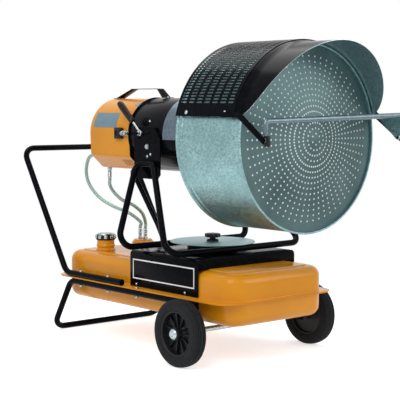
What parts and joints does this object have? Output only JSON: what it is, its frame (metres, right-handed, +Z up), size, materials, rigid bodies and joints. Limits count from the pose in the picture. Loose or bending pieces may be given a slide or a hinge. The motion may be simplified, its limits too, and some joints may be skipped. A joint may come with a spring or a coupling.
{
  "type": "diesel infrared heater",
  "caption": "Mobile oil-fired radiant heater: a drum burner head with a pierced hood and dish, tilting and swivelling on a tubular stand over a wheeled steel fuel tank.",
  "frame": {"origin": "centre of the bounding box on the floor, level with the lowest point of the tyres and foot tube", "axes": "+X towards the radiant side, +Z up, -Y the side with the tilt lever"},
  "size_m": [1.6281, 0.7546, 1.1937],
  "materials": {
    "yellow_enamel": "gloss yellow-orange enamel",
    "black_enamel": "gloss black enamel",
    "galvanised_steel": "hot-dip galvanised sheet",
    "zinc_plated_steel": "bright zinc plating",
    "heat_tinted_steel": "heat-tinted stainless sheet",
    "black_rubber": "matt black rubber",
    "black_plastic": "satin black moulding",
    "brown_plastic": "dark brown gloss grip",
    "braided_steel": "braided hose cover",
    "brass_nozzle": "turned brass",
    "cast_aluminium": "die cast"
  },
  "bodies": {
    "cart": {"tank_upper_shell": "yellow_enamel", "tank_lower_shell": "yellow_enamel", "filler_neck": "yellow_enamel", "filler_strainer": "zinc_plated_steel", "pickup_flange": "yellow_enamel", "feed_pickup": "zinc_plated_steel", "return_pickup": "zinc_plated_steel", "feed_hose": "braided_steel", "return_hose": "braided_steel", "support_foot": "black_enamel", "push_handle": "black_enamel", "near_rail_bolt_1": "zinc_plated_steel", "near_rail_bolt_2": "zinc_plated_steel", "far_rail_bolt_1": "zinc_plated_steel", "far_rail_bolt_2": "zinc_plated_steel", "saddle": "black_enamel", "turntable_hub": "black_enamel", "axle": "zinc_plated_steel", "near_axle_cap": "zinc_plated_steel", "far_axle_cap": "zinc_plated_steel"},
    "near_wheel": {"near_tyre": "black_rubber", "near_rim": "black_plastic"},
    "far_wheel": {"far_tyre": "black_rubber", "far_rim": "black_plastic"},
    "cap": {"filler_cap": "zinc_plated_steel"},
    "knob": {"swivel_knob": "black_plastic"},
    "stand": {"swivel_disc": "galvanised_steel", "stand_tube_near": "black_enamel", "stand_tube_far": "black_enamel", "near_bracket": "black_enamel", "far_bracket": "black_enamel", "near_pivot_bolt": "zinc_plated_steel", "far_pivot_bolt": "zinc_plated_steel", "stand_brace": "black_enamel"},
    "head": {"burner_housing": "black_enamel", "housing_flange": "black_enamel", "burner_cover": "yellow_enamel", "feed_inlet": "zinc_plated_steel", "return_outlet": "zinc_plated_steel", "carry_handle": "black_enamel", "motor": "cast_aluminium", "fuel_pump": "cast_aluminium", "transformer": "black_plastic", "flame_tube": "heat_tinted_steel", "nozzle_holder": "brass_nozzle", "control_socket": "black_plastic", "heat_shield": "galvanised_steel", "drum_shell": "galvanised_steel", "drum_back_plate": "galvanised_steel", "combustion_tube": "heat_tinted_steel", "radiant_dish": "heat_tinted_steel", "hood_grille": "black_enamel", "hood_visor": "black_enamel", "near_arm": "black_enamel", "far_arm": "black_enamel", "front_crossbar": "galvanised_steel"},
    "lever": {"tilt_lever_rod": "zinc_plated_steel", "tilt_lever_grip": "brown_plastic"},
    "fan": {"fan_wheel": "cast_aluminium"}
  },
  "joints": [
    {"name": "near_wheel_turn", "type": "hinge", "parent": "cart", "child": "near_wheel", "pos_m": [0.32925, -0.338, 0.125], "axis": [0, 1, 0], "continuous": true},
    {"name": "far_wheel_turn", "type": "hinge", "parent": "cart", "child": "far_wheel", "pos_m": [0.32925, 0.338, 0.125], "axis": [0, 1, 0], "continuous": true},
    {"name": "filler_cap_turn", "type": "hinge", "parent": "cart", "child": "cap", "pos_m": [-0.39575, -0.14, 0.4], "axis": [0, 0, 1], "continuous": true},
    {"name": "stand_swivel", "type": "hinge", "parent": "cart", "child": "stand", "pos_m": [0.12425, 0, 0.4051], "axis": [0, 0, 1], "range_deg": [-30, 30], "deforming": ["feed_hose", "return_hose"]},
    {"name": "swivel_knob_turn", "type": "hinge", "parent": "stand", "child": "knob", "pos_m": [0.12425, 0, 0.43], "axis": [0, 0, 1], "range_deg": [0, 360]},
    {"name": "head_tilt", "type": "hinge", "parent": "stand", "child": "head", "pos_m": [-0.09275, 0, 0.79], "axis": [0, -1, 0], "range_deg": [-5, 25], "deforming": ["feed_hose", "return_hose"]},
    {"name": "tilt_lever_turn", "type": "hinge", "parent": "head", "child": "lever", "pos_m": [-0.12561, -0.1515, 0.84258], "axis": [0, 1, 0], "range_deg": [0, 60]},
    {"name": "fan_spin", "type": "hinge", "parent": "head", "child": "fan", "pos_m": [-0.21975, 0, 0.836], "axis": [1, 0, 0], "continuous": true}
  ]
}
